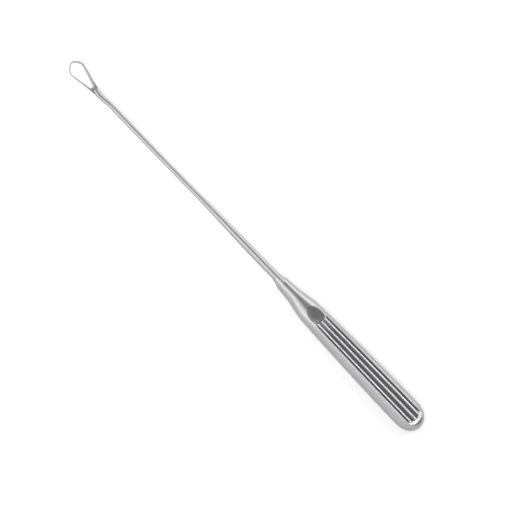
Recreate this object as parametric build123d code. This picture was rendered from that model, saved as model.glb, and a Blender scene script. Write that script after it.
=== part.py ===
from build123d import *
import os
from math import atan, cos, degrees, pi, radians, sin, sqrt, tan

# Uterine curette with an open loop and a hollow fluted handle, in millimetres.
# It is modelled along X: the shank's axis is the X axis, the handle's nose is at x = 0,
# the loop lies towards -X and the butt towards +X, and the front face looks along +Z.
# At the end both pieces are laid down on the flat rim of the handle's back.

# Loop blade, measured along its own plane
loop_radius = 4.95           # outside radius of the wide end
tip_projection = 0.75        # how far the blunt point stands out beyond that radius
tip_radius = 2.6
blade_length = 24.0          # from the tip to where the shank's bend begins
opening_length = 18.4        # from the tip to the far end of the opening
leg_width = 1.1
blade_height = 1.8
leg_end_half_width = 1.0     # the legs run on into the shank and narrow to this inside it
leg_end_overlap = 1.0        # past the start of the bend
crotch_radius = 1.2
edge_land = 0.3              # width left at the front by the ground bevel
bevel_height = 1.2
back_round = 0.5             # rounding of the outer back edge
front_round = 0.1            # rounding of the outer front edge
loop_tilt = 10.5             # degrees that the loop is set up towards the front

# Shank
bend_length = 9.0            # stretch in which the shank bends up and is forged to the oval fork
fork_width = 3.45
fork_height = 2.5
fork_end_height = 1.6        # where the fork ends, sunk between the legs
slender_diameter = 2.95
slender_length = 65.6
taper_length = 45.0
root_diameter = 4.55
root_length = 21.5           # parallel stretch in front of the handle
side_set = 0.45              # how far the soft shank has been set over to one side
side_set_start = 39.5        # from the nose to where that begins
side_set_length = 68.0
loop_side_set = 0.9          # how much further the bend sets the loop over to that side
tang_length = 26.0           # stretch that is brazed inside the handle
tang_chamfer = 0.5
braze_gap = 0.02

# Nose and neck of the handle
collar_lip = 0.12            # wall of the collar where the shank comes out
collar_length = 5.1
collar_dish = 0.16           # hollow of the collar's flare
neck_front_diameter = 7.6
neck_back_diameter = 8.7
neck_length = 8.8
flare_length = 11.3
flare_ease = 1.6             # half length of the soft bends at both ends of the flare

# Grip and butt
shoulder_width = 13.45
shoulder_thickness = 9.2
deepening_length = 11.8      # behind the shoulder, where the grip deepens under the thumb rest
deep_thickness = 11.4        # across the crowns of the uncut grip, where that ends
butt_width = 17.3
butt_thickness = 13.0
grip_length = 79.5
grip_swell = 1.7             # exponent of the swelling in width: 1 would be a straight taper
butt_length = 10.8           # length of the rounded end, seen from the front
butt_side_length = 5.0       # and the length in which it rounds off, seen from the side
sheet_thickness = 1.0
hollow_start = 16.0          # the nose in front of this is drawn down tight on the tang

# Flat on the front and the back, with a sunk panel of ribs
flat_width_share = 0.575     # width of the flat as a share of the grip's width
rib_count = 3
rib_pitch_share = 0.187      # rib spacing as a share of the grip's width
rib_crest_radius = 0.4
rib_drop = 0.2               # how far the crests lie below the flat
flute_depth = 0.9            # below the crests
outer_flute_radius = 0.5
panel_start = 35.1           # from the nose to where the flutes begin
panel_start_slope = 20.0     # degrees that they run in
panel_end_setback = 8.5      # from the butt's end to the centre of the panel's round end
panel_end_radius = 4.2       # at the floor of the flutes
panel_end_slope = 39.0       # degrees that the end wall rises

# Thumb rest at the front end of the flat
rest_position = 29.9         # from the nose to its lowest point
rest_depth = 0.8             # below the flat
rest_long_radius = 16.2
rest_cross_radius = 28.0

# Stations along the handle
neck_end = collar_length + neck_length
shoulder = neck_end + flare_length
full_depth = shoulder + deepening_length
butt = shoulder + grip_length
handle_end = butt + butt_length

# Stations along the shank, measured forward from the nose
taper_end = root_length + taper_length
bend_start = taper_end + slender_length
bend_radius = bend_length / radians(loop_tilt)

# Cutters
clear = 20.0                 # more than any half width, for cutters that reach into the open
cutter_sweep = 30.0          # degrees of the round cutter's outline, more than it cuts with

# Number of sections that the lofts pass through
neck_sections = 5
flare_sections = 8
shoulder_sections = 6
grip_sections = 10
butt_sections = 8
hollow_sections = 9
panel_sections = 4
shank_sections = 14
bend_sections = 6


def soft_ramp(x, corner, ease):
    """A ramp that is 0 before the corner, rises 1 in 1 after it and bends over softly in between."""
    if abs(x - corner) < ease:
        return (x - corner + ease) ** 2 / (4 * ease)
    return max(x - corner, 0.0)


def smooth_step(t):
    """Goes from 0 to 1 with level ends."""
    t = min(max(t, 0.0), 1.0)
    return t * t * (3 - 2 * t)


def bent_line(x, *points):
    """Height of a line through these points that bends over softly at each of them."""
    slopes = [(b[1] - a[1]) / (b[0] - a[0]) for a, b in zip(points, points[1:])]
    height = points[0][1] + slopes[0] * (x - points[0][0])
    for (corner, _), before, after in zip(points[1:], slopes, slopes[1:]):
        height += (after - before) * soft_ramp(x, corner, flare_ease)
    return height


def end_round(x, length):
    """Share of the full size that is left by an elliptical rounding of this length at the butt."""
    t = max(x - (handle_end - length), 0.0) / length
    return sqrt(max(1 - t * t, 0.0))


def half_width(x):
    """The neck and the flare, and a grip that swells towards the butt."""
    size = bent_line(
        min(x, butt),
        (collar_length, neck_front_diameter),
        (neck_end, neck_back_diameter),
        (shoulder, shoulder_width),
        (butt, shoulder_width),
    )
    swelling = 1 - (1 - min(max((x - shoulder) / grip_length, 0.0), 1.0)) ** grip_swell
    size += (butt_width - shoulder_width) * swelling
    return size / 2 * end_round(x, butt_length)


def half_thickness(x):
    """The same from the side, where the shoulder stays level with the flat."""
    size = bent_line(
        min(x, butt),
        (collar_length, neck_front_diameter),
        (neck_end, neck_back_diameter),
        (shoulder, shoulder_thickness),
        (full_depth, deep_thickness),
        (butt, butt_thickness),
    )
    return size / 2 * end_round(x, butt_side_length)


flat_height_share = sqrt(1 - flat_width_share**2)
flat_slope = flat_height_share * (butt_thickness - deep_thickness) / 2 / (butt - full_depth)


def flat_height(x):
    """Height of the flat above the handle's axis."""
    return flat_height_share * deep_thickness / 2 + flat_slope * (x - full_depth)


def section(x, wall=0.0):
    """Ellipse of the handle's section, or of its hollow when a wall is given."""
    return Plane.YZ.offset(x) * Ellipse(half_width(x) - wall, half_thickness(x) - wall)


def spread(start, end, count):
    """Evenly spaced stations, without the last one."""
    return [start + (end - start) * i / count for i in range(count)]


def handle_stations():
    """Stations of the handle's sections, which crowd together towards the tip of the butt."""
    flare_start = neck_end - flare_ease
    flare_end = shoulder + flare_ease
    grip_start = full_depth + flare_ease
    stations = spread(collar_length, flare_start, neck_sections)
    stations += spread(flare_start, flare_end, flare_sections)
    stations += spread(flare_end, grip_start, shoulder_sections)
    stations += spread(grip_start, butt, grip_sections)
    return stations + [butt + butt_length * sin(turn) for turn in spread(0, pi / 2, butt_sections)]


def collar():
    """Flared end of the nose, a dished cone turned round the shank."""
    mouth = root_diameter / 2 + braze_gap + collar_lip
    rim = neck_front_diameter / 2
    flare = SagittaArc((0, mouth), (collar_length, rim), -collar_dish)
    outline = Polyline((collar_length, rim), (collar_length, 0), (0, 0), (0, mouth))
    return revolve(make_face(flare.edges() + outline.edges()), Axis.X)


def handle_blank():
    """Solid form of the handle: the collar, then one smooth loft from the neck to the butt."""
    sections = [section(x) for x in handle_stations()]
    return collar() + loft(sections + [Vertex(handle_end, 0, 0)])


def hollow():
    """Closed hollow inside the pressed shell, which follows the outside and the sunk panels."""
    end = handle_end - butt_side_length
    stations = [hollow_start] + spread(neck_end + flare_length / 2, end, hollow_sections) + [end]
    space = loft([section(x, sheet_thickness) for x in stations])
    floor = max(rest_depth, rib_drop + flute_depth) + sheet_thickness
    front = flat_height(hollow_start) - floor
    back = flat_height(end) - floor
    side = Polyline((hollow_start, front), (end, back), (end, -back), (hollow_start, -front), close=True)
    slab = extrude(Plane.XZ * make_face(side), clear, both=True)
    return space & slab


def tang_bore():
    radius = root_diameter / 2 + braze_gap
    return Plane.YZ * extrude(Circle(radius), tang_length + tang_chamfer)


def flat_plane(x):
    """Plane in the front flat above this station: its X runs towards the butt, its Z outwards."""
    tilt = Location((x, 0, flat_height(x)), (0, -degrees(flat_slope), 0))
    return Plane(tilt)


def flat_cutter():
    """Everything above the front flat, which runs out in a point on the flare."""
    start = shoulder - flare_length / 2
    length = handle_end - start + clear
    block = Box(length, 2 * clear, clear, align=(Align.MIN, Align.CENTER, Align.MIN))
    return flat_plane(start) * block


def thumb_rest_cutter():
    """Barrel of two radii whose lowest point touches the floor of the thumb rest."""
    reach = rest_long_radius * sin(radians(cutter_sweep))
    end_height = rest_long_radius * (1 - cos(radians(cutter_sweep))) - rest_depth
    arc = ThreePointArc((-reach, end_height), (0, -rest_depth), (reach, end_height))
    chord = Line(arc @ 1, arc @ 0)
    turning_axis = Axis((0, 0, rest_cross_radius - rest_depth), (1, 0, 0))
    face = Plane.XZ * make_face(arc.edges() + chord.edges())
    return flat_plane(rest_position) * revolve(face, turning_axis)


def air_over_ribs(pitch):
    """Section of the space above the ribs: round crests and round flutes that run into each other.

    Neighbouring arcs touch without a corner, so the two radii at a flute add up to its reach:
    (half gap squared + depth squared) / (2 x depth).
    """
    top = -rib_drop
    floor = top - flute_depth
    outer_reach = rib_crest_radius + outer_flute_radius
    outer_gap = sqrt(2 * outer_reach * flute_depth - flute_depth**2)
    crests = [(i - (rib_count - 1) / 2) * pitch for i in range(rib_count)]
    gaps = [outer_gap] + [pitch / 2] * (rib_count - 1) + [outer_gap]
    wall = crests[-1] + outer_gap + outer_flute_radius

    ends = [(-wall, floor + outer_flute_radius)]
    middles = [(crests[0] - outer_gap, floor)]
    for crest, before, after in zip(crests, gaps, gaps[1:]):
        for side, gap in ((-1, before), (1, after)):
            share = 2 * flute_depth * rib_crest_radius / (gap**2 + flute_depth**2)
            ends.append((crest + side * gap * share, top - flute_depth * share))
        middles += [(crest, top), (crest + after, floor)]
    ends.append((wall, floor + outer_flute_radius))

    arcs = [ThreePointArc(a, m, b) for a, m, b in zip(ends, middles, ends[1:])]
    lid = Polyline(ends[-1], (wall, clear), (-wall, clear), ends[0])
    return make_face(arcs + lid.edges())


def panel_limit():
    """Where the panel may be cut: from a sloping start to a round end like a countersink."""
    centre = handle_end - panel_end_setback
    depth = 2 * (rib_drop + flute_depth)
    run_in = 1 / tan(radians(panel_start_slope))
    start = panel_start - centre
    corners = [(start + depth * run_in, -depth), (start - clear * run_in, clear), (0, clear), (0, -depth)]
    room = extrude(Plane.XZ * make_face(Polyline(*corners, close=True)), clear, both=True)
    run_out = 1 / tan(radians(panel_end_slope))
    bottom = panel_end_radius - (depth - rib_drop - flute_depth) * run_out
    top = bottom + (clear + depth) * run_out
    cone = Cone(bottom, top, clear + depth, align=(Align.CENTER, Align.CENTER, Align.MIN))
    return flat_plane(centre) * (room + Pos(0, 0, -depth) * cone)


def panel_cutter():
    """Sunk panel of ribs, which fans out as the grip widens."""
    sections = []
    for x in spread(rest_position, butt, panel_sections) + [butt, handle_end + butt_length]:
        flat = flat_plane(x)
        across = Plane(flat.origin, x_dir=(0, 1, 0), z_dir=flat.x_dir)
        pitch = rib_pitch_share * 2 * half_width(min(x, butt))
        sections.append(across * air_over_ribs(pitch))
    return loft(sections, ruled=True) & panel_limit()


def handle():
    shell = handle_blank() - hollow() - tang_bore()
    for cutter in (flat_cutter(), thumb_rest_cutter(), panel_cutter()):
        shell = shell - cutter - mirror(cutter, about=Plane.XY)
    return shell


def hulled(circles):
    """Outline of a band stretched round circles that lie along the X axis."""
    outlines = [Pos(x, 0) * Circle(radius) for x, radius in circles]
    return make_hull([edge for outline in outlines for edge in outline.edges()])


def loop_blade():
    """Open loop in its own plane: its tip points to -X and the shank's bend begins at x = 0."""
    tip = -blade_length
    wide = tip + loop_radius + tip_projection
    crotch = tip + opening_length - crotch_radius
    legs = (leg_end_overlap, leg_end_half_width)
    half = blade_height / 2
    outside = hulled([(tip + tip_radius, tip_radius), (wide, loop_radius), legs])
    blade = extrude(Pos(0, 0, -half) * outside, blade_height)
    blade = fillet(blade.faces().sort_by(Axis.Z)[0].edges(), back_round)
    blade = fillet(blade.faces().sort_by(Axis.Z)[-1].edges(), front_round)

    inside = hulled([
        (tip + tip_radius, tip_radius - leg_width),
        (wide, loop_radius - leg_width),
        (crotch, crotch_radius),
    ])
    bevel = degrees(atan((leg_width - edge_land) / bevel_height))
    opening = extrude(Pos(0, 0, -clear / 2) * inside, clear)
    ground = extrude(Pos(0, 0, half - bevel_height) * inside, bevel_height, taper=-bevel)
    return blade - opening - ground


def shank_size(distance):
    """Width and height at this distance from the handle's nose."""
    thinning = min(max((distance - root_length) / taper_length, 0.0), 1.0)
    diameter = root_diameter + (slender_diameter - root_diameter) * thinning
    forging = smooth_step((distance - bend_start) / bend_length)
    width = diameter + (fork_width - slender_diameter) * forging
    height = diameter + (fork_height - slender_diameter) * forging
    return width, height


def side_shift(distance):
    """How far the shank and the loop have been set over to one side."""
    shank_part = side_set * smooth_step((distance - side_set_start) / side_set_length)
    loop_part = loop_side_set * smooth_step((distance - bend_start) / bend_length)
    return -shank_part - loop_part


def bend_plane(distance):
    """Plane across the shank at this distance from the nose; past the bend it follows the loop."""
    turned = min(max((distance - bend_start) / bend_length, 0.0), 1.0) * radians(loop_tilt)
    past = max(distance - bend_start - bend_length, 0.0)
    along = min(distance, bend_start) + bend_radius * sin(turned) + past * cos(turned)
    rise = bend_radius * (1 - cos(turned)) + past * sin(turned)
    place = (-along, side_shift(distance), rise)
    return Plane(place, x_dir=(0, 1, 0), z_dir=(-cos(turned), 0, sin(turned)))


def shank_section(distance):
    width, height = shank_size(distance)
    return bend_plane(distance) * Ellipse(width / 2, height / 2)


def shank_bar():
    """Round bar from the tang to the oval fork, which ends sunk between the loop's legs."""
    fork = bend_start + bend_length
    straight = spread(root_length, bend_start, shank_sections)
    bend = spread(bend_start, fork, bend_sections)
    sections = [shank_section(distance) for distance in straight + bend + [fork]]
    buried = blade_length - opening_length - leg_width
    sections.append(bend_plane(fork + buried) * Ellipse(leg_end_half_width, fork_end_height / 2))
    bar = loft(sections)
    tang = Plane.YZ.offset(-root_length) * extrude(Circle(root_diameter / 2), root_length + tang_length)
    tang = chamfer(tang.faces().sort_by(Axis.X)[-1].edges(), tang_chamfer)
    return bar + tang


def loop_and_shank():
    """The whole forging: tang, shank, fork and loop."""
    fork = bend_plane(bend_start + bend_length)
    blade_frame = Plane(fork.origin, x_dir=-fork.z_dir, z_dir=fork.x_dir.cross(fork.z_dir))
    return shank_bar() + blade_frame * loop_blade()


def laid_down(pieces):
    """Stand the pieces on the flat of the handle's back, centred over the origin."""
    on_back = Rot(0, -degrees(flat_slope), 0)
    turned = {name: on_back * piece for name, piece in pieces.items()}
    box = Compound(list(turned.values())).bounding_box(optimal=True)
    floor = -flat_height(0) * cos(flat_slope)
    place = Pos(-box.center().X, -box.center().Y, -floor)
    return {name: place * piece for name, piece in turned.items()}


os.makedirs("parts", exist_ok=True)
for node, piece in laid_down({"loop_and_shank": loop_and_shank(), "handle": handle()}).items():
    export_step(piece, f"parts/{node}.step")
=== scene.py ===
from math import cos, pi, radians, sin, sqrt, tan

import bpy
import numpy as np
from bpy.props import FloatProperty, FloatVectorProperty, IntProperty, PointerProperty
from mathutils import Matrix, Vector


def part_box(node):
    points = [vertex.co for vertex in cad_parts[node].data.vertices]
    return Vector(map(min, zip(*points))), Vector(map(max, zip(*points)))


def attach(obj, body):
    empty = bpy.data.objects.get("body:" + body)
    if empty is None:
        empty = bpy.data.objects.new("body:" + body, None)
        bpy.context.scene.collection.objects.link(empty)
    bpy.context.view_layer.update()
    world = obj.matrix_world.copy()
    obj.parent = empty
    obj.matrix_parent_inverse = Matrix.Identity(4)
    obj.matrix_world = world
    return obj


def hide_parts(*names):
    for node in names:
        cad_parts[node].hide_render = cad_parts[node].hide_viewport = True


bl_info = {
    "name": "Uterine curette",
    "version": (1, 0, 0),
    "blender": (4, 5, 0),
    "location": "View3D > Sidebar > Curette",
    "description": "Makes the visible steel pieces of a uterine curette, its floor, light and camera",
    "category": "Object",
}

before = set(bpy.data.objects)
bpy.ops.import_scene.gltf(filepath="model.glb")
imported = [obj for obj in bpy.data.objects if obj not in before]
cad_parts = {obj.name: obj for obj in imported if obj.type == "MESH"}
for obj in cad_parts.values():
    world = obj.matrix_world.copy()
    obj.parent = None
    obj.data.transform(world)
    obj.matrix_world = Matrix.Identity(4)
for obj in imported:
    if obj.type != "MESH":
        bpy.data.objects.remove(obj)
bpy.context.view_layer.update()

MM = 0.001
TINY = MM * MM  # least half width that is divided by

# Rings along the handle's mesh, one number for each stretch from the collar to the tip of the butt
COLLAR_RINGS = 20
NECK_RINGS = 76
REST_RINGS = 74
GRIP_RINGS = 110
PANEL_END_RINGS = 60
TIP_RINGS = 26
REST_REACH = 6 * MM  # the close rings begin this far in front of the thumb rest's lowest point
START_REACH = 2 * MM  # and end this far behind the start of the panel
TIP_LENGTH = 2 * MM

# Columns round each ring
RIB_COLUMNS = 9  # from a crest to the next floor
SIDE_COLUMNS = 24  # from the panel to the widest line
RIM_COLUMNS = np.array([0.06, 0.12, 0.18, 0.26, 0.36, 0.5]) * MM  # past the panel's wall
COLUMN_REACH = 0.92  # share of the half width that the panel's columns keep within

# Hollow of the thumb rest
BARREL_REACH = 0.9  # share of the long radius that the arc is followed for, to each side

# Inside of the mouth
BORE_DEPTH = 3 * MM  # how far the surface goes in round the shank
RIM_STRIP = 0.03 * MM  # strip along the rim's edge, which keeps the shading crisp there

# Where the handle is matt, with painted shade in the flutes, and where it is buffed
MATT_SHADE_START = 0.1  # share of the flutes' depth at which the matt steel and its painted shade begin
MATT_SHADE_GROWTH = 0.6  # share of the depth over which it grows to the full
# fade of the matt steel and its painted shade where the round end wall rises
MATT_SHADE_END_FADE = 0.2 * MM
SHADE_SHARE_AT_START = 0.6  # share of the matt steel and its painted shade that is left at the front of the panel, where the flutes run in
# length behind the panel's start over which the painted shade grows to the full
SHADE_GROWTH_LENGTH = 10 * MM
BUFFED_CUT = 0.1 * MM  # depth below the uncut oval at which the steel is fully buffed
BUFFED_REACH = 5.4 * MM  # buffed from this far in front of the thumb rest's lowest point
BUFFED_TIP = 1 * MM  # half width at which the buffed tip of the butt begins

# Grain of the steel, with scales in cells to the metre
GRAIN_SCALE = (260, 7000, 7000)  # long along X and fine across
GRAIN_DETAIL = 4.0
CLOUD_SCALE = 90.0
CLOUD_DETAIL = 3.0
GRAIN_SHARE = 0.6  # the clouds make the rest of the tone
TONE_RANGE = (0.3, 0.7)  # spread out to 0 and 1
BUMP_STRENGTH = 0.4

# Ground steel of the loop
LOOP_LENGTH = 19.5 * MM  # from the tip to where the ground steel has run out
GROUND_FADE = 3 * MM

# Parts of the light tent that are darker or brighter than its sides, with angles in degrees
DARK_OVERHEAD = {"centre": (0.0, 0.20, 0.98), "start": 32, "full": 18, "squeeze": 0.45}
DARK_BEYOND_BUTT = {"centre": (1.0, 0.3, 0.25), "start": 40, "full": 22, "squeeze": 1.0}
BRIGHT_BEHIND_LOOP = {"centre": (-0.78, 0.56, 0.28), "start": 26, "full": 16, "squeeze": 1.0}

# Soft boxes, with places and sizes in metres
LOOP_SIDE_BOX = {"place": (-0.20, -0.33, 0.38), "aim": (0, 0, 0), "width": 0.40, "height": 0.20}
GRIP_BOX = {"place": (0.115, -0.163, 0.473), "aim": (0.115, 0, 0), "width": 0.13, "height": 0.16}
FAR_BOX = {"place": (0.06, 0.49, 0.30), "aim": (0.06, 0, 0), "width": 0.44, "height": 0.20}


def length(name, description, millimetres):
    """A size in metres whose default is given in millimetres."""
    return FloatProperty(
        name=name, description=description, default=millimetres * MM, min=0.0, unit="LENGTH", precision=5
    )


def angle(name, description, degrees):
    """An angle in radians whose default is given in degrees."""
    return FloatProperty(name=name, description=description, default=radians(degrees), subtype="ANGLE")


def share(name, description, default):
    """A share of 1."""
    return FloatProperty(name=name, description=description, default=default, min=0.0, subtype="FACTOR")


def brightness(name, description, default):
    """A brightness on the scale where a white sheet in a tent of 1 is white."""
    return FloatProperty(name=name, description=description, default=default, min=0.0)


def colour(name, description, default):
    """A linear colour."""
    return FloatVectorProperty(
        name=name, description=description, default=default, size=3, min=0.0, max=1.0, subtype="COLOR"
    )


class HandleSizes(bpy.types.PropertyGroup):
    """Sizes of the hollow handle, measured from its nose."""

    bore_radius: length("Bore radius", "Radius of the bore that holds the shank", 2.295)
    mouth_radius: length("Mouth radius", "Outside radius of the collar at the shank", 2.415)
    collar_length: length("Collar length", "Length of the collar's flare", 5.1)
    collar_dish: length("Collar dish", "Hollow of the collar's flare", 0.16)
    neck_front: length("Neck front", "Diameter of the neck at the collar", 7.6)
    neck_back: length("Neck back", "Diameter of the neck at the flare", 8.7)
    neck_length: length("Neck length", "From the collar to the flare", 8.8)
    flare_length: length("Flare length", "From the neck to the shoulder", 11.3)
    flare_ease: length("Flare ease", "Half length of the soft bends of the flare", 1.6)
    shoulder_width: length("Shoulder width", "Width where the grip begins", 13.45)
    shoulder_thickness: length("Shoulder thickness", "Thickness where the grip begins", 9.2)
    deepening_length: length("Deepening length", "Stretch in which the grip deepens", 11.8)
    deep_thickness: length("Deep thickness", "Thickness across the crowns after that", 11.4)
    butt_width: length("Butt width", "Width before the rounded end", 17.3)
    butt_thickness: length("Butt thickness", "Thickness across the crowns at the butt", 13.0)
    grip_length: length("Grip length", "From the shoulder to the rounded end", 79.5)
    grip_swell: FloatProperty(name="Grip swell", description="Exponent of the swelling in width", default=1.7)
    butt_length: length("Butt length", "Length of the rounded end from the front", 10.8)
    butt_side_length: length("Butt side length", "Length of the rounded end from the side", 5.0)


class PanelSizes(bpy.types.PropertyGroup):
    """Sizes of the flat, the ribs sunk into it and the thumb rest."""

    flat_width_share: share("Flat width", "Width of the flat as a share of the grip's width", 0.575)
    rib_count: IntProperty(name="Ribs", description="Number of ribs in the panel", default=3, min=1)
    rib_pitch_share: share("Rib pitch", "Rib spacing as a share of the grip's width", 0.187)
    crest_radius: length("Crest radius", "Rounding of the rib crests", 0.5)
    rib_drop: length("Rib drop", "How far the crests lie below the flat", 0.2)
    flute_depth: length("Flute depth", "Depth of the flutes below the crests", 0.9)
    outer_radius: length("Outer flute radius", "Rounding of the outer flutes", 0.5)
    start: length("Panel start", "From the nose to the first of the flutes", 34.8)
    start_round: length("Start round", "Radius of the line on which the flutes begin", 8.0)
    start_slope: angle("Start slope", "Slope at which the flutes run in", 24.0)
    end_setback: length("End setback", "From the butt's end to the centre of the round end", 8.5)
    end_radius: length("End radius", "Radius of the round end at the floor of the flutes", 3.6)
    end_slope: angle("End slope", "Slope at which the end wall rises", 31.0)
    rest_position: length("Thumb rest position", "From the nose to its lowest point", 29.9)
    rest_depth: length("Thumb rest depth", "Depth below the flat", 0.8)
    rest_long_radius: length("Thumb rest long radius", "Hollow along the handle", 16.2)
    rest_cross_radius: length("Thumb rest cross radius", "Hollow across the handle", 28.0)
    edge_softness: length("Edge softness", "Reach of the buffed rounding on the edges", 0.16)
    wall_slope: angle("Wall slope", "Slope of the panel's side walls", 78.0)


class SteelLooks(bpy.types.PropertyGroup):
    """Colours and finish of the stainless steel."""

    bright: colour("Bright steel", "Colour of the clean steel", (0.345, 0.345, 0.35))
    # The dull colour is darker than the steel's own: painted shade deep in the flutes, on top of their matt
    # finish
    dull_and_shade: colour("Dull steel", "Colour in the flutes, where no wheel reaches", (0.10, 0.10, 0.103))
    ground: colour("Ground steel", "Colour of the ground loop and the buffed crests", (0.50, 0.50, 0.505))
    satin_roughness: share("Satin roughness", "Roughness of the brushed steel", 0.36)
    buffed_roughness: share("Buffed roughness", "Roughness of the crests and the thumb rests", 0.20)
    matt_roughness: share("Matt roughness", "Roughness in the flutes", 0.50)
    uneven: share("Uneven", "How much the roughness varies with the grain", 0.08)
    grain_depth: length("Grain depth", "Height of the grain that the polishing leaves", 0.0015)


class StudioLooks(bpy.types.PropertyGroup):
    """Camera, floor and light."""

    view_width: length("View width", "Width of the picture at the object", 284.3)
    elevation: angle("Elevation", "Height of the camera above the horizon", 72.5)
    roll: angle("Roll", "How far the handle points below the picture's horizontal", 46.364)
    centre_along: length("Centre", "Place of the picture's centre along the instrument", 8.5)
    centre_height: length("Centre height", "Height of the handle's axis at that place", 4.156)
    camera_distance: length("Camera distance", "From the camera to the object", 2400.0)
    tent: brightness("Tent", "Brightness of the light tent's sides", 1.34)
    overhead: brightness("Overhead", "Brightness of the dark opening overhead", 0.22)
    beyond_butt: brightness("Beyond the butt", "Brightness of the tent beyond the butt", 0.35)
    behind_loop: brightness("Behind the loop", "Brightness of the tent behind the loop", 3.4)
    loop_side_box: brightness("Loop side box", "Brightness of the soft box beside the loop", 3.4)
    grip_box: brightness("Grip box", "Brightness of the soft box over the grip", 4.6)
    far_box: brightness("Far box", "Brightness of the soft box on the far side", 2.8)
    floor_colour: colour("Floor", "Colour of the floor", (0.96, 0.96, 0.96))
    floor_roughness: share("Floor roughness", "Roughness of the floor", 0.9)
    floor_gloss: share("Floor gloss", "Specular level of the floor", 0.1)
    floor_size: length("Floor size", "Length of each side of the floor", 6000.0)


def soft_ramp(x, corner, ease):
    """0 before the corner, rising 1 in 1 after it, with a parabola of this half length between the two."""
    into = np.clip(x - corner + ease, 0, 2 * ease)
    return into**2 / (4 * ease) + np.maximum(x - corner - ease, 0)


def bent_line(x, points, ease):
    """A line through the points: the first slope, plus a soft ramp at each bend times the change of slope."""
    slopes = [(b[1] - a[1]) / (b[0] - a[0]) for a, b in zip(points, points[1:])]
    height = points[0][1] + slopes[0] * (x - points[0][0])
    for (corner, _), before, after in zip(points[1:], slopes, slopes[1:]):
        height = height + (after - before) * soft_ramp(x, corner, ease)
    return height


def soft_min(a, b, reach):
    """The lower of two heights, rounded off by a parabola where they are nearer than the reach."""
    near = np.clip(1 - np.abs(a - b) / reach, 0, 1)
    return np.minimum(a, b) - near**2 * reach / 4


def soft_max(a, b, reach):
    """The higher of two heights, rounded off in the same way."""
    return -soft_min(-a, -b, reach)


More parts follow.
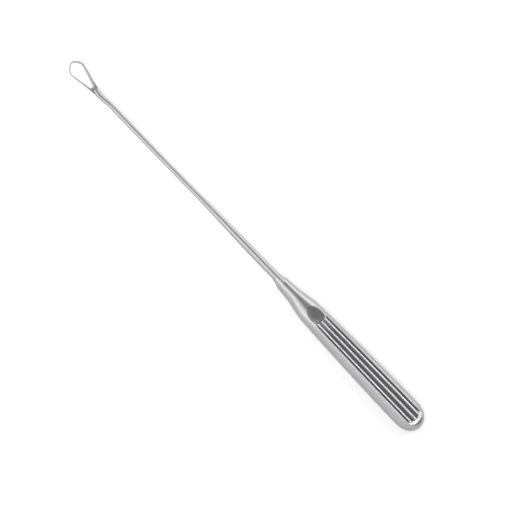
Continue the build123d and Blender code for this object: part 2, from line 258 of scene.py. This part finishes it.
class HandleForm:
    """The handle's surface in its own frame: x from the nose to the butt, z out of the front face."""

    def __init__(self, handle, panel):
        self.handle = handle
        self.panel = panel
        self.neck_end = handle.collar_length + handle.neck_length
        self.shoulder = self.neck_end + handle.flare_length
        self.full_depth = self.shoulder + handle.deepening_length
        self.butt = self.shoulder + handle.grip_length
        self.end = self.butt + handle.butt_length
        self.flat_share = sqrt(1 - panel.flat_width_share**2)
        rise = self.flat_share * (handle.butt_thickness - handle.deep_thickness) / 2
        self.flat_slope = rise / (self.butt - self.full_depth)

    def end_round(self, x, stretch):
        """Quarter ellipse: the square root of 1 minus the squared share of the rounded stretch."""
        into = np.clip((x - self.end + stretch) / stretch, 0, 1)
        return np.sqrt(1 - into**2)

    def collar(self, x):
        """Straight flare from the mouth to the neck, less a parabola for its dish."""
        h = self.handle
        along = np.clip(x / h.collar_length, 0, 1)
        rim = h.neck_front / 2
        return h.mouth_radius + (rim - h.mouth_radius) * along - 4 * h.collar_dish * along * (1 - along)

    def half_width(self, x):
        """Neck, flare and a grip that swells as 1 - (1 - share)^swell, rounded off at the butt."""
        h = self.handle
        points = [
            (h.collar_length, h.neck_front),
            (self.neck_end, h.neck_back),
            (self.shoulder, h.shoulder_width),
            (self.butt, h.shoulder_width),
        ]
        size = bent_line(np.minimum(x, self.butt), points, h.flare_ease)
        along = np.clip((x - self.shoulder) / h.grip_length, 0, 1)
        size = size + (h.butt_width - h.shoulder_width) * (1 - (1 - along) ** h.grip_swell)
        half = size / 2 * self.end_round(x, h.butt_length)
        return np.where(x < h.collar_length, self.collar(x), half)

    def half_thickness(self, x):
        """The same from the side, through the shoulder's and the grip's thicknesses."""
        h = self.handle
        points = [
            (h.collar_length, h.neck_front),
            (self.neck_end, h.neck_back),
            (self.shoulder, h.shoulder_thickness),
            (self.full_depth, h.deep_thickness),
            (self.butt, h.butt_thickness),
        ]
        half = bent_line(np.minimum(x, self.butt), points, h.flare_ease) / 2
        half = half * self.end_round(x, h.butt_side_length)
        return np.where(x < h.collar_length, self.collar(x), half)

    def flat(self, x):
        """Height of the flat: a straight line along the grip."""
        return self.flat_share * self.handle.deep_thickness / 2 + self.flat_slope * (x - self.full_depth)

    def pitch(self, x):
        """Distance between two crests: a share of the grip's width."""
        return self.panel.rib_pitch_share * 2 * self.half_width(np.minimum(x, self.butt))

    def outer_gap(self):
        """From the outer crest to the outer floor, where two touching arcs drop by the flute's depth."""
        reach = self.panel.crest_radius + self.panel.outer_radius
        return sqrt(2 * reach * self.panel.flute_depth - self.panel.flute_depth**2)

    def panel_wall(self, x):
        """Half width of the panel at its side walls."""
        outer_crest = (self.panel.rib_count - 1) / 2 * self.pitch(x)
        return outer_crest + self.outer_gap() + self.panel.outer_radius

    def ribs(self, x, y):
        """Height of the ribs over the flat.

        Each side of a crest is an arc of the crest's radius and then an arc of the flute's, which touch
        without a corner: the two radii add up to (gap squared + depth squared) / (2 x depth).
        """
        p = self.panel
        pitch = self.pitch(x)
        outer_crest = (p.rib_count - 1) / 2 * pitch
        inside = np.abs(y) < outer_crest
        phase = np.abs((np.abs(y) - outer_crest + pitch / 2) % pitch - pitch / 2)
        away = np.where(inside, phase, np.abs(y) - outer_crest)
        gap = np.where(inside, pitch / 2, self.outer_gap())
        radii = (gap**2 + p.flute_depth**2) / (2 * p.flute_depth)
        flute = radii - p.crest_radius
        touch = gap * p.crest_radius / radii
        crest_drop = p.crest_radius - np.sqrt(np.maximum(p.crest_radius**2 - away**2, 0))
        floor_rise = flute - np.sqrt(np.maximum(flute**2 - (away - gap) ** 2, 0))
        height = -p.rib_drop - np.where(away < touch, crest_drop, p.flute_depth - floor_rise)
        past_wall = np.maximum(np.abs(y) - self.panel_wall(x), 0)
        return height + past_wall * tan(p.wall_slope)

    def flute_start(self, y):
        """Where the flutes begin: a parabola round the thumb rest's edge."""
        return self.panel.start - y**2 / (2 * self.panel.start_round)

    def from_end_centre(self, x, y):
        """Distance from the round end's centre, squeezed across so that the side walls are one radius off."""
        p = self.panel
        return np.hypot(np.maximum(x - self.end + p.end_setback, 0), y * p.end_radius / self.panel_wall(x))

    def sunk_panel(self, x, y):
        """The higher of the ribs, the sloping start and the cone that rises from the round end's radius."""
        p = self.panel
        floor = -p.rib_drop - p.flute_depth
        start = (self.flute_start(y) - x) * tan(p.start_slope)
        cone = floor + (self.from_end_centre(x, y) - p.end_radius) * tan(p.end_slope)
        height = soft_max(self.ribs(x, y), start, p.edge_softness)
        return soft_max(height, cone, p.edge_softness)

    def thumb_rest(self, x, y):
        """Barrel turned about an axis over the flat, whose outline is an arc of the long radius."""
        p = self.panel
        along = np.clip((x - p.rest_position) / p.rest_long_radius, -BARREL_REACH, BARREL_REACH)
        barrel = p.rest_cross_radius - p.rest_long_radius * (1 - np.sqrt(1 - along**2))
        return p.rest_cross_radius - p.rest_depth - np.sqrt(barrel**2 - y**2)

    def oval(self, x, y, least=TINY):
        """Height of the uncut ellipse: half the thickness times the root of 1 - (y / half width) squared.

        A half width under the least one counts as the least one.
        """
        across = y / np.maximum(self.half_width(x), least)
        return self.half_thickness(x) * np.sqrt(np.clip(1 - across**2, 0, 1))

    def height(self, x, y):
        """Softly the lowest of the uncut oval, the flat, the thumb rest and the ribs."""
        oval = self.oval(x, y)
        soft = self.panel.edge_softness
        cut = soft_min(self.thumb_rest(x, y), self.sunk_panel(x, y), soft)
        flat = self.flat(x)
        lowest = soft_min(oval, soft_min(flat + 0 * y, flat + cut, soft), soft)
        return np.where(x < self.handle.collar_length, oval, np.maximum(lowest, 0))

    def finish(self, points):
        """Shares of matt steel in the flutes and of buffed steel on the flat, the crests and the thumb rests.

        The matt share also darkens the colour as painted shade. It grows with the flutes' depth, fades at the
        end wall and is less at the front end, where the flutes run in, so that less shade is painted there.
        The buffed share grows with the depth below the uncut oval, whose width stops shrinking at the tip of
        the butt, so that the tip is buffed too.
        """
        p = self.panel
        x, y, z = np.moveaxis(points, -1, 0)
        depth = (self.flat(x) - np.abs(z) - p.rib_drop) / p.flute_depth
        inside = (p.end_radius - self.from_end_centre(x, y)) / MATT_SHADE_END_FADE
        matt_and_shade = np.clip((depth - MATT_SHADE_START) / MATT_SHADE_GROWTH, 0, 1) * np.clip(inside, 0, 1)
        # less painted shade and less matt roughness at the front of the panel, where the flutes run in
        matt_and_shade = matt_and_shade * (SHADE_SHARE_AT_START + (1 - SHADE_SHARE_AT_START) * np.clip((x - p.start) / SHADE_GROWTH_LENGTH, 0, 1))
        matt_and_shade = np.where((np.abs(y) < self.panel_wall(x)) & (x > self.flute_start(y)), matt_and_shade, 0.0)
        buffed = np.clip((self.oval(x, y, BUFFED_TIP) - np.abs(z)) / BUFFED_CUT, 0, 1)
        return matt_and_shade, buffed * (1 - matt_and_shade) * (x > p.rest_position - BUFFED_REACH)

    def stations(self):
        """Stations along the handle, close together where the form changes.

        They are even in each stretch, and follow the sine of a quarter turn at the tip.
        """
        rest = self.panel.rest_position - REST_REACH
        grip = self.panel.start + START_REACH
        panel_end = self.end - self.panel.end_setback
        tip = self.end - TIP_LENGTH
        places = (0, self.handle.collar_length, rest, grip, panel_end, tip)
        counts = (COLLAR_RINGS, NECK_RINGS, REST_RINGS, GRIP_RINGS, PANEL_END_RINGS)
        runs = zip(places, places[1:], counts)
        spread = [np.linspace(first, last, count, endpoint=False) for first, last, count in runs]
        turn = np.linspace(0, pi / 2, TIP_RINGS)
        return np.concatenate([*spread, tip + TIP_LENGTH * np.sin(turn)])

    def across_panel(self):
        """Places of the columns across the panel as (share of the pitch, distance past the outer crest)."""
        p = self.panel
        crest = (p.rib_count - 1) / 2
        inner = np.linspace(-crest, crest, 2 * (p.rib_count - 1) * RIB_COLUMNS + 1)
        past = self.outer_gap() + p.outer_radius
        outward = np.concatenate([np.linspace(0, past, 2 * RIB_COLUMNS)[1:], past + RIM_COLUMNS])
        pitch_share = np.concatenate([np.full(len(outward), -crest), inner, np.full(len(outward), crest)])
        beyond = np.concatenate([-outward[::-1], np.zeros(len(inner)), outward])
        return pitch_share, beyond

    def rings(self):
        """Grid of points, one closed ring per station, from the top left over the right side and back.

        The columns beside the panel lie at even angles of an ellipse, down to the widest line.
        """
        x = self.stations()[:, None]
        wide = self.half_width(x)
        pitch_share, beyond = self.across_panel()
        y = pitch_share * self.pitch(x) + beyond
        y = y * np.minimum(1, COLUMN_REACH * wide / y[:, -1:])
        top = self.height(x, y)
        lean = np.linspace(1, 0, SIDE_COLUMNS)[1:]
        edge = np.arccos(np.clip(y[:, -1:] / np.maximum(wide, TINY), 0, 1))
        side_y = wide * np.cos(edge * lean)
        side_z = np.minimum(self.height(x, side_y), self.half_thickness(x) * np.sin(edge * lean))
        side_z[:, -1] = 0
        right_y = np.hstack([side_y, side_y[:, -2::-1]])
        right_z = np.hstack([side_z, -side_z[:, -2::-1]])
        ring_y = np.hstack([y, right_y, y[:, ::-1], -right_y])
        ring_z = np.hstack([top, right_z, -top[:, ::-1], -right_z])
        return np.stack([np.broadcast_to(x, ring_y.shape), ring_y, ring_z], axis=2)

    def bore_rings(self, first):
        """Rings that lead from the mouth's rim into the bore, on the directions of the first ring."""
        around = np.arctan2(first[:, 2], first[:, 1])
        h = self.handle
        profile = [(BORE_DEPTH, h.bore_radius), (0, h.bore_radius), (0, h.mouth_radius - RIM_STRIP)]
        x, radius = np.array(profile).T[:, :, None]
        y = radius * np.cos(around)
        z = radius * np.sin(around)
        return np.stack([np.broadcast_to(x, y.shape), y, z], axis=2)


def grid_faces(rows, columns):
    """Quads between neighbouring closed rings of a grid."""
    i = np.arange(rows - 1)[:, None] * columns
    j = np.arange(columns)[None, :]
    k = (j + 1) % columns
    return np.stack([i + j, i + k, i + columns + k, i + columns + j], axis=2).reshape(-1, 4)


def closed_tube(name, rings):
    """Mesh of a stack of closed rings, with a point in the middle of each end."""
    rows, columns = rings.shape[:2]
    points = np.vstack([rings.reshape(-1, 3), rings[0].mean(0), rings[-1].mean(0)])
    quads = grid_faces(rows, columns)
    j = np.arange(columns)
    k = (j + 1) % columns
    first = np.stack([k, j, np.full(columns, rows * columns)], axis=1)
    last_row = (rows - 1) * columns
    last = np.stack([last_row + j, last_row + k, np.full(columns, rows * columns + 1)], axis=1)
    mesh = bpy.data.meshes.new(name)
    mesh.from_pydata(points.tolist(), [], quads.tolist() + first.tolist() + last.tolist())
    mesh.shade_smooth()
    piece = bpy.data.objects.new(name, mesh)
    bpy.context.scene.collection.objects.link(piece)
    return piece


def laid_down(form, points):
    """Turns the handle's own frame about Y by the slope of its flat and sets it where the CAD handle lies."""
    turn = form.flat_slope
    x, y, z = np.moveaxis(points, -1, 0)
    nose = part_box("handle")[1][0] - form.end * cos(turn)
    level = form.flat(0) * cos(turn)
    return np.stack([x * cos(turn) - z * sin(turn) + nose, y, x * sin(turn) + z * cos(turn) + level], axis=-1)


def feed(tree, end, value):
    """Links this input to an output, or sets it to a plain value."""
    if isinstance(value, bpy.types.NodeSocket):
        tree.links.new(value, end)
    else:
        end.default_value = value


def mixed(tree, kind, part, first, second):
    """Output of a Mix node of this kind, which goes this part of the way from the first to the second."""
    mix = tree.nodes.new("ShaderNodeMix")
    mix.data_type = kind
    feed(tree, mix.inputs["Factor"], part)
    feed(tree, mix.inputs["A"], first)
    feed(tree, mix.inputs["B"], second)
    return mix.outputs["Result"]


def noise(tree, place, scale, detail):
    """Value of a noise texture at this place."""
    texture = tree.nodes.new("ShaderNodeTexNoise")
    texture.inputs["Scale"].default_value = scale
    texture.inputs["Detail"].default_value = detail
    tree.links.new(place, texture.inputs["Vector"])
    return texture.outputs["Fac"]


def steel_grain_group():
    """Fine grain drawn out along X over slow clouds: gives a tone from 0 to 1 and a height."""
    group = bpy.data.node_groups.new("steel_grain", "ShaderNodeTree")
    group.interface.new_socket(name="Place", in_out="INPUT", socket_type="NodeSocketVector")
    group.interface.new_socket(name="Tone", in_out="OUTPUT", socket_type="NodeSocketFloat")
    group.interface.new_socket(name="Height", in_out="OUTPUT", socket_type="NodeSocketFloat")
    place = group.nodes.new("NodeGroupInput").outputs["Place"]
    leave = group.nodes.new("NodeGroupOutput")
    stretch = group.nodes.new("ShaderNodeMapping")
    stretch.inputs["Scale"].default_value = GRAIN_SCALE
    group.links.new(place, stretch.inputs["Vector"])
    grain = noise(group, stretch.outputs["Vector"], 1.0, GRAIN_DETAIL)
    clouds = noise(group, place, CLOUD_SCALE, CLOUD_DETAIL)
    spread = group.nodes.new("ShaderNodeMapRange")
    spread.inputs["From Min"].default_value, spread.inputs["From Max"].default_value = TONE_RANGE
    group.links.new(mixed(group, "FLOAT", GRAIN_SHARE, clouds, grain), spread.inputs["Value"])
    group.links.new(spread.outputs["Result"], leave.inputs["Tone"])
    group.links.new(grain, leave.inputs["Height"])
    return group


def attribute(tree, name):
    """Value of the piece's own attribute, which is 0 on a piece without it."""
    node = tree.nodes.new("ShaderNodeAttribute")
    node.attribute_name = name
    return node.outputs["Fac"]


def satin_steel(name, looks):
    """Stainless steel with fine grain along the instrument, matt or buffed where the attributes say; the matt
    share also darkens the colour as painted shade in the flutes.
    """
    material = bpy.data.materials.new(name)
    material.use_nodes = True
    tree = material.node_tree
    nodes, links = tree.nodes, tree.links
    shader = nodes["Principled BSDF"]
    shader.inputs["Metallic"].default_value = 1.0
    grain = nodes.new("ShaderNodeGroup")
    grain.node_tree = bpy.data.node_groups.get("steel_grain") or steel_grain_group()
    links.new(nodes.new("ShaderNodeTexCoord").outputs["Object"], grain.inputs["Place"])
    # matt steel in the flutes, whose dark colour is painted shade
    matt_and_shade = attribute(tree, "matt_and_shade")
    buffed = attribute(tree, "buffed")
    rough = mixed(tree, "FLOAT", buffed, looks.satin_roughness, looks.buffed_roughness)
    rough = mixed(tree, "FLOAT", matt_and_shade, rough, looks.matt_roughness)
    varied = nodes.new("ShaderNodeMath")
    varied.operation = "MULTIPLY_ADD"
    for end, value in zip(varied.inputs, (grain.outputs["Tone"], looks.uneven, rough)):
        feed(tree, end, value)
    links.new(varied.outputs["Value"], shader.inputs["Roughness"])
    tone = mixed(tree, "RGBA", buffed, (*looks.bright, 1), (*looks.ground, 1))
    # the flutes' dull colour is painted shade, mixed in with the matt share
    tone = mixed(tree, "RGBA", matt_and_shade, tone, (*looks.dull_and_shade, 1))
    links.new(tone, shader.inputs["Base Color"])
    bump = nodes.new("ShaderNodeBump")
    bump.inputs["Strength"].default_value = BUMP_STRENGTH
    bump.inputs["Distance"].default_value = looks.grain_depth
    links.new(grain.outputs["Height"], bump.inputs["Height"])
    links.new(bump.outputs["Normal"], shader.inputs["Normal"])
    return material


class CURETTE_OT_handle(bpy.types.Operator):
    """Make the hollow handle with its flare, thumb rests and fluted panels"""

    bl_idname = "curette.handle"
    bl_label = "Handle"

    def execute(self, context):
        form = HandleForm(context.scene.curette_handle, context.scene.curette_panel)
        outside = form.rings()
        rings = np.concatenate([form.bore_rings(outside[0]), outside])
        piece = closed_tube("handle_shell", laid_down(form, rings))
        for name, shares in zip(("matt_and_shade", "buffed"), form.finish(rings)):
            values = np.append(shares.ravel(), (0.0, 0.0))  # the middle points of the two ends stay satin
            piece.data.attributes.new(name, "FLOAT", "POINT").data.foreach_set("value", values)
        piece.data.materials.append(satin_steel("satin_steel_handle", context.scene.curette_steel))
        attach(piece, "root")
        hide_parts("handle")
        return {"FINISHED"}


def brighten_loop(material, looks, loop_end):
    """Mixes the ground steel's colour into the base colour, growing with the distance before this X."""
    tree = material.node_tree
    parts = tree.nodes.new("ShaderNodeSeparateXYZ")
    tree.links.new(tree.nodes.new("ShaderNodeTexCoord").outputs["Object"], parts.inputs["Vector"])
    ground = tree.nodes.new("ShaderNodeMapRange")
    ground.inputs["From Min"].default_value = loop_end
    ground.inputs["From Max"].default_value = loop_end - GROUND_FADE
    tree.links.new(parts.outputs["X"], ground.inputs["Value"])
    base = tree.nodes["Principled BSDF"].inputs["Base Color"]
    tone = mixed(tree, "RGBA", ground.outputs["Result"], base.links[0].from_socket, (*looks.ground, 1))
    tree.links.new(tone, base)


class CURETTE_OT_shank(bpy.types.Operator):
    """Give the loop and the shank their ground and polished steel"""

    bl_idname = "curette.shank"
    bl_label = "Loop and shank"

    def execute(self, context):
        looks = context.scene.curette_steel
        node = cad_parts["loop_and_shank"]
        steel = satin_steel("satin_steel_shank", looks)
        brighten_loop(steel, looks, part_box("loop_and_shank")[0][0] + LOOP_LENGTH)
        node.data.materials.clear()
        node.data.materials.append(steel)
        return {"FINISHED"}


def smooth_lobe(tree, direction, centre, start, full, squeeze):
    """0 outside the angle start round the centre, 1 inside the angle full, and a smooth step between.

    The directions' X is multiplied by the squeeze first, so a squeeze under 1 draws the lobe out along X.
    """
    squeezed = tree.nodes.new("ShaderNodeVectorMath")
    squeezed.operation = "MULTIPLY"
    squeezed.inputs[1].default_value = (squeeze, 1, 1)
    tree.links.new(direction, squeezed.inputs[0])
    unit = tree.nodes.new("ShaderNodeVectorMath")
    unit.operation = "NORMALIZE"
    tree.links.new(squeezed.outputs["Vector"], unit.inputs[0])
    dot = tree.nodes.new("ShaderNodeVectorMath")
    dot.operation = "DOT_PRODUCT"
    dot.inputs[1].default_value = Vector(centre).normalized()
    tree.links.new(unit.outputs["Vector"], dot.inputs[0])
    step = tree.nodes.new("ShaderNodeMapRange")
    step.interpolation_type = "SMOOTHSTEP"
    step.inputs["From Min"].default_value = cos(radians(start))
    step.inputs["From Max"].default_value = cos(radians(full))
    tree.links.new(dot.outputs["Value"], step.inputs["Value"])
    return step.outputs["Result"]


def soft_box(name, level, place, aim, width, height):
    """Area light whose face is as bright as a tent of this level, and which the camera doesn't see."""
    light = bpy.data.lights.new(name, "AREA")
    light.shape = "RECTANGLE"
    light.size = width
    light.size_y = height
    light.energy = level * pi * width * height
    holder = bpy.data.objects.new(name, light)
    turn = (Vector(aim) - Vector(place)).to_track_quat("-Z", "Y")
    holder.matrix_world = Matrix.Translation(place) @ turn.to_matrix().to_4x4()
    holder.visible_camera = False
    bpy.context.scene.collection.objects.link(holder)


class CURETTE_OT_stage(bpy.types.Operator):
    """Make the pale floor, the soft studio light and the camera"""

    bl_idname = "curette.stage"
    bl_label = "Stage"

    def execute(self, context):
        looks = context.scene.curette_studio
        self.make_floor(looks)
        self.make_light(context.scene, looks)
        self.make_camera(context.scene, looks)
        return {"FINISHED"}

    def make_floor(self, looks):
        """A square at the level of the surface that the curette lies on."""
        half = looks.floor_size / 2
        mesh = bpy.data.meshes.new("floor")
        corners = [(-half, -half, 0), (half, -half, 0), (half, half, 0), (-half, half, 0)]
        mesh.from_pydata(corners, [], [(0, 1, 2, 3)])
        floor = bpy.data.objects.new("floor", mesh)
        bpy.context.scene.collection.objects.link(floor)
        material = bpy.data.materials.new("pale_floor")
        material.use_nodes = True
        shader = material.node_tree.nodes["Principled BSDF"]
        shader.inputs["Base Color"].default_value = (*looks.floor_colour, 1)
        shader.inputs["Roughness"].default_value = looks.floor_roughness
        shader.inputs["Specular IOR Level"].default_value = looks.floor_gloss
        mesh.materials.append(material)

    def make_light(self, scene, looks):
        """A light tent with darker and brighter parts, two soft boxes on the near side and one on the far."""
        world = bpy.data.worlds.new("studio")
        world.use_nodes = True
        scene.world = world
        tree = world.node_tree
        direction = tree.nodes.new("ShaderNodeTexCoord").outputs["Generated"]
        lobes = [
            (DARK_OVERHEAD, looks.overhead),
            (DARK_BEYOND_BUTT, looks.beyond_butt),
            (BRIGHT_BEHIND_LOOP, looks.behind_loop),
        ]
        light = looks.tent
        for lobe, level in lobes:
            light = mixed(tree, "FLOAT", smooth_lobe(tree, direction, **lobe), light, level)
        background = tree.nodes["Background"]
        tree.links.new(light, background.inputs["Strength"])
        background.inputs["Color"].default_value = (1, 1, 1, 1)
        soft_box("loop_side_box", looks.loop_side_box, **LOOP_SIDE_BOX)
        soft_box("grip_box", looks.grip_box, **GRIP_BOX)
        soft_box("far_box", looks.far_box, **FAR_BOX)
        scene.view_settings.view_transform = "Standard"

    def make_camera(self, scene, looks):
        """Looks down from the front, rolled so that the handle points to the picture's lower right."""
        lean = looks.elevation
        back = Vector((0, -cos(lean), sin(lean)))
        along = Vector((1, 0, 0))
        across = back.cross(along)
        right = along * cos(looks.roll) + across * sin(looks.roll)
        up = back.cross(right)
        camera = bpy.data.cameras.new("camera")
        camera.lens = camera.sensor_width * looks.camera_distance / looks.view_width
        holder = bpy.data.objects.new("camera", camera)
        target = Vector((looks.centre_along, 0, looks.centre_height))
        place = target + back * looks.camera_distance
        rows = Matrix((right, up, back)).transposed().to_4x4()
        holder.matrix_world = Matrix.Translation(place) @ rows
        scene.collection.objects.link(holder)
        scene.camera = holder


class CURETTE_PT_panel(bpy.types.Panel):
    """Lists the curette's pieces in the sidebar"""

    bl_idname = "CURETTE_PT_panel"
    bl_label = "Curette"
    bl_space_type = "VIEW_3D"
    bl_region_type = "UI"
    bl_category = "Curette"

    def draw(self, context):
        for operator in OPERATORS:
            self.layout.operator(operator.bl_idname)


OPERATORS = (CURETTE_OT_handle, CURETTE_OT_shank, CURETTE_OT_stage)
GROUPS = {
    "curette_handle": HandleSizes,
    "curette_panel": PanelSizes,
    "curette_steel": SteelLooks,
    "curette_studio": StudioLooks,
}


def register():
    for group in GROUPS.values():
        bpy.utils.register_class(group)
    for name, group in GROUPS.items():
        setattr(bpy.types.Scene, name, PointerProperty(type=group))
    for shown in (*OPERATORS, CURETTE_PT_panel):
        bpy.utils.register_class(shown)


def unregister():
    for shown in (CURETTE_PT_panel, *reversed(OPERATORS)):
        bpy.utils.unregister_class(shown)
    for name in GROUPS:
        delattr(bpy.types.Scene, name)
    for group in reversed(GROUPS.values()):
        bpy.utils.unregister_class(group)


def main():
    register()
    bpy.ops.curette.handle()
    bpy.ops.curette.shank()
    bpy.ops.curette.stage()


if __name__ == "__main__":
    main()
